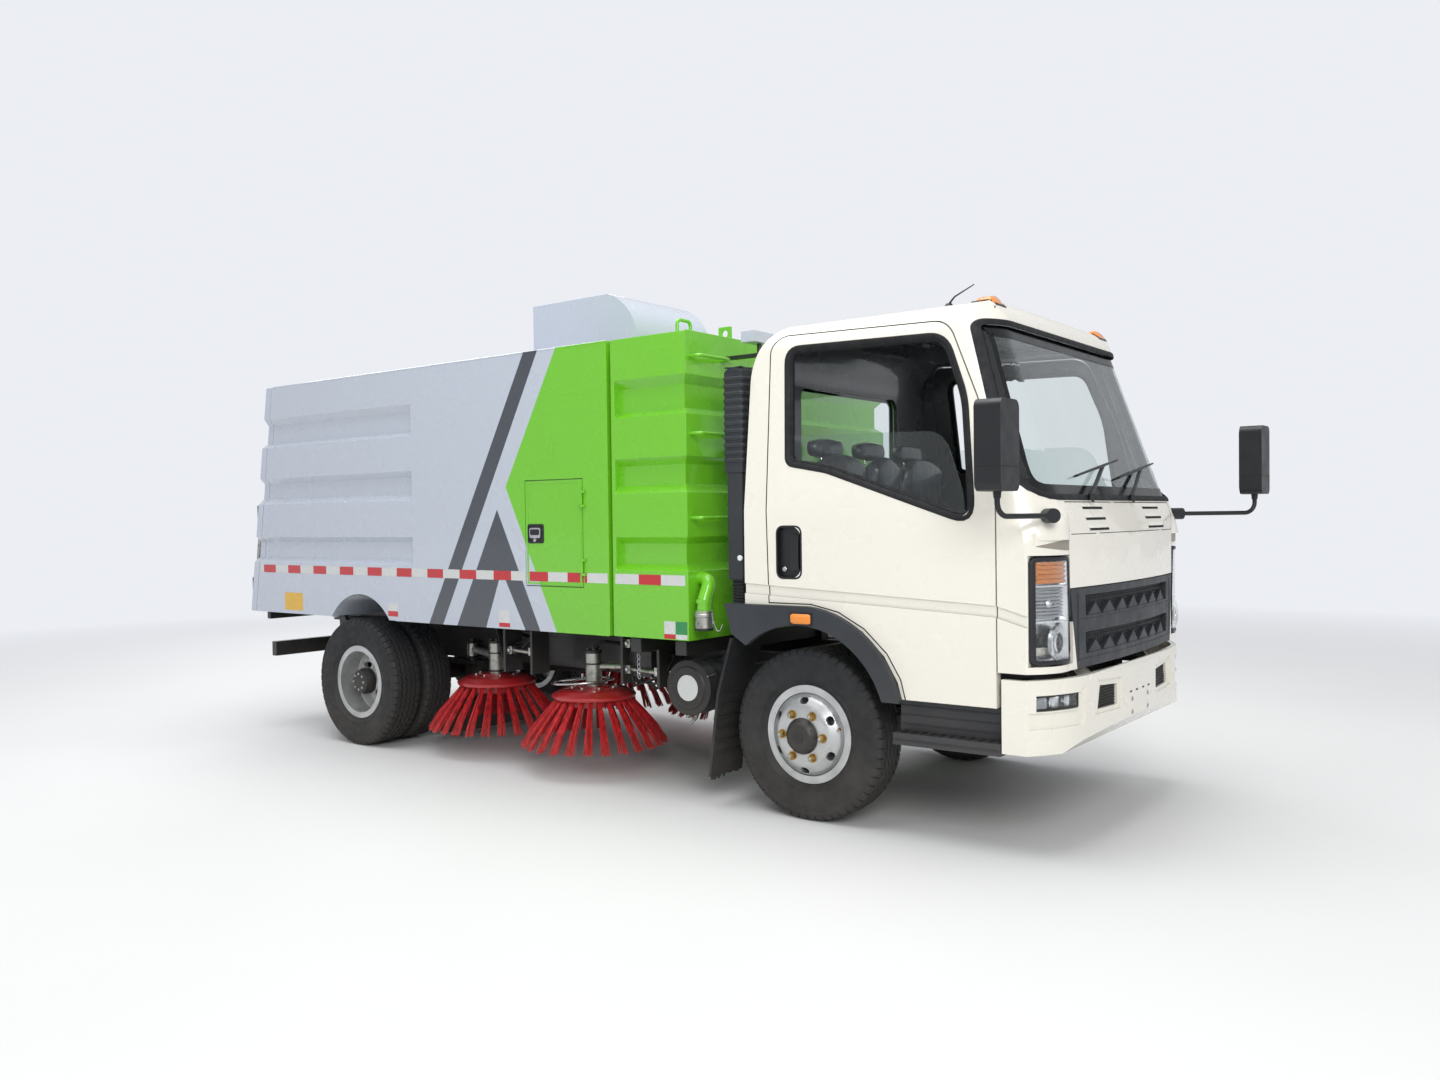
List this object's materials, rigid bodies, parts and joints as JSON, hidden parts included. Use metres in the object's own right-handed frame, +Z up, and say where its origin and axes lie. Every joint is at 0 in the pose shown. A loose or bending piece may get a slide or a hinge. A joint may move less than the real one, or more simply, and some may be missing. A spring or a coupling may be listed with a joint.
{
  "type": "street sweeper truck",
  "caption": "Light cab-over street sweeper truck with a ribbed green water tank, a grey tipping debris hopper and red side brushes",
  "frame": {"origin": "on the ground at the centre of the overall bounding box", "axes": "+X toward the cab's front, +Y to the truck's left, +Z up"},
  "size_m": [6.118, 2.52, 2.752],
  "materials": {
    "cream_paint": "gloss",
    "grey_paint": "gloss",
    "green_paint": "gloss",
    "red_paint": "gloss",
    "black_paint": "satin",
    "silver_paint": "satin",
    "charcoal_plastic": "matte",
    "black_rubber": "matte",
    "tyre_rubber": "matte",
    "bristle_red": "matte",
    "bright_steel": "satin",
    "cast_dark": "matte",
    "clear_glass": "gloss",
    "lamp_lens": "gloss",
    "seat_fabric": "matte",
    "dash_plastic": "matte"
  },
  "bodies": {
    "chassis": {"frame_rails": "black_paint", "crossmembers": "black_paint", "subframe": "black_paint", "engine_block": "cast_dark", "rear_axle": "cast_dark", "driveshaft": "black_paint", "leaf_springs": "black_paint", "front_axle": "cast_dark", "fuel_tank": "black_paint", "bumper": "cream_paint", "steps": "charcoal_plastic", "front_mudflaps": "black_rubber", "air_intake": "charcoal_plastic", "water_tank": "green_paint", "tank_rungs": "green_paint", "hydrant_pipe": "green_paint", "underrun_bar": "black_paint", "suction_unit": "black_paint"},
    "cab": {"cab_shell": "cream_paint", "front_panel": "cream_paint", "grille": "charcoal_plastic", "headlamps": "lamp_lens", "cab_glass": "clear_glass", "seats": "seat_fabric", "dashboard": "dash_plastic", "steering_wheel": "charcoal_plastic", "mirrors": "charcoal_plastic", "wipers": "charcoal_plastic", "fender_flares": "charcoal_plastic"},
    "hopper": {"hopper_shell": "grey_paint", "fan_hood": "grey_paint", "tail_lamps": "black_paint"},
    "hatch": {"rear_hatch": "grey_paint"},
    "locker": {"locker_door": "green_paint"},
    "cylinder_barrel": {"tip_barrel": "black_paint"},
    "cylinder_rod": {"tip_rod": "bright_steel"},
    "door_right_body": {"door_right": "cream_paint", "door_glass_right": "clear_glass"},
    "steer_right": {"knuckle_right": "cast_dark"},
    "front_wheel_right": {"rim_front_right": "silver_paint", "tyre_front_right": "tyre_rubber"},
    "rear_wheels_right": {"rim_rear_right": "silver_paint", "tyre_rear_right": "tyre_rubber"},
    "door_left_body": {"door_left": "cream_paint", "door_glass_left": "clear_glass"},
    "steer_left": {"knuckle_left": "cast_dark"},
    "front_wheel_left": {"rim_front_left": "silver_paint", "tyre_front_left": "tyre_rubber"},
    "rear_wheels_left": {"rim_rear_left": "silver_paint", "tyre_rear_left": "tyre_rubber"},
    "arm_front_right": {"brush_arm_front_right": "bright_steel"},
    "side_brush_front_right": {"brush_front_right": "bristle_red"},
    "arm_front_left": {"brush_arm_front_left": "bright_steel"},
    "side_brush_front_left": {"brush_front_left": "bristle_red"},
    "arm_rear_right": {"brush_arm_rear_right": "bright_steel"},
    "side_brush_rear_right": {"brush_rear_right": "bristle_red"},
    "arm_rear_left": {"brush_arm_rear_left": "bright_steel"},
    "side_brush_rear_left": {"brush_rear_left": "bristle_red"}
  },
  "joints": [
    {"name": "cab_tilt", "type": "hinge", "parent": "chassis", "child": "cab", "pos_m": [2.704, 0, 0.668], "axis": [0, 1, 0], "range_deg": [0, 45]},
    {"name": "door_right_hinge", "type": "hinge", "parent": "cab", "child": "door_right_body", "pos_m": [2.466, -0.937, 1.3], "axis": [0, 0, 1], "range_deg": [0, 68]},
    {"name": "steer_right_pivot", "type": "hinge", "parent": "chassis", "child": "steer_right", "pos_m": [1.514, -0.712, 0.402], "axis": [0, 0, 1], "range_deg": [-33, 33]},
    {"name": "front_wheel_right_spin", "type": "hinge", "parent": "steer_right", "child": "front_wheel_right", "pos_m": [1.514, -0.802, 0.402], "axis": [0, 1, 0], "continuous": true},
    {"name": "rear_wheels_right_spin", "type": "hinge", "parent": "chassis", "child": "rear_wheels_right", "pos_m": [-1.846, -0.76, 0.402], "axis": [0, 1, 0], "continuous": true},
    {"name": "door_left_hinge", "type": "hinge", "parent": "cab", "child": "door_left_body", "pos_m": [2.466, 0.937, 1.3], "axis": [0, 0, -1], "range_deg": [0, 68]},
    {"name": "steer_left_pivot", "type": "hinge", "parent": "chassis", "child": "steer_left", "pos_m": [1.514, 0.712, 0.402], "axis": [0, 0, 1], "range_deg": [-33, 33]},
    {"name": "front_wheel_left_spin", "type": "hinge", "parent": "steer_left", "child": "front_wheel_left", "pos_m": [1.514, 0.802, 0.402], "axis": [0, 1, 0], "continuous": true},
    {"name": "rear_wheels_left_spin", "type": "hinge", "parent": "chassis", "child": "rear_wheels_left", "pos_m": [-1.846, 0.76, 0.402], "axis": [0, 1, 0], "continuous": true},
    {"name": "hopper_tip", "type": "hinge", "parent": "chassis", "child": "hopper", "pos_m": [-2.886, 0, 0.765], "axis": [0, -1, 0], "range_deg": [0, 45]},
    {"name": "hatch_swing", "type": "hinge", "parent": "hopper", "child": "hatch", "pos_m": [-2.78563, 0, 2.376], "axis": [0, 1, 0], "range_deg": [0, 80]},
    {"name": "locker_hinge", "type": "hinge", "parent": "hopper", "child": "locker", "pos_m": [0.166, -0.988, 1.348], "axis": [0, 0, 1], "range_deg": [0, 105]},
    {"name": "barrel_pivot", "type": "hinge", "parent": "chassis", "child": "cylinder_barrel", "pos_m": [-1.236, 0, 0.56], "axis": [0, 1, 0], "range_deg": [-2, 26]},
    {"name": "rod_slide", "type": "slide", "parent": "cylinder_barrel", "child": "cylinder_rod", "axis": [-0.9636, 0, 0.2672], "range_m": [-0.01, 0.562]},
    {"name": "arm_front_right_swing", "type": "hinge", "parent": "chassis", "child": "arm_front_right", "pos_m": [0.324, -0.43, 0.585], "axis": [0, 0, 1], "range_deg": [0, 20]},
    {"name": "side_brush_front_right_spin", "type": "hinge", "parent": "arm_front_right", "child": "side_brush_front_right", "pos_m": [-0.083, -0.65, 0.43], "axis": [0, 0, 1], "continuous": true},
    {"name": "arm_front_left_swing", "type": "hinge", "parent": "chassis", "child": "arm_front_left", "pos_m": [0.324, 0.43, 0.585], "axis": [0, 0, -1], "range_deg": [0, 20]},
    {"name": "side_brush_front_left_spin", "type": "hinge", "parent": "arm_front_left", "child": "side_brush_front_left", "pos_m": [-0.083, 0.65, 0.43], "axis": [0, 0, -1], "continuous": true},
    {"name": "arm_rear_right_swing", "type": "hinge", "parent": "chassis", "child": "arm_rear_right", "pos_m": [-1.376, -0.43, 0.585], "axis": [0, 0, -1], "range_deg": [0, 20]},
    {"name": "side_brush_rear_right_spin", "type": "hinge", "parent": "arm_rear_right", "child": "side_brush_rear_right", "pos_m": [-0.976, -0.58, 0.43], "axis": [0, 0, 1], "continuous": true},
    {"name": "arm_rear_left_swing", "type": "hinge", "parent": "chassis", "child": "arm_rear_left", "pos_m": [-1.376, 0.43, 0.585], "axis": [0, 0, 1], "range_deg": [0, 20]},
    {"name": "side_brush_rear_left_spin", "type": "hinge", "parent": "arm_rear_left", "child": "side_brush_rear_left", "pos_m": [-0.976, 0.58, 0.43], "axis": [0, 0, -1], "continuous": true}
  ],
  "couplings": [
    {"joint": "steer_right_pivot", "follows": "steer_left_pivot", "ratio": 1},
    {"joint": "barrel_pivot", "follows": "hopper_tip", "ratio": 0.53795},
    {"joint": "rod_slide", "follows": "hopper_tip", "m_per_rad": 0.6901}
  ]
}
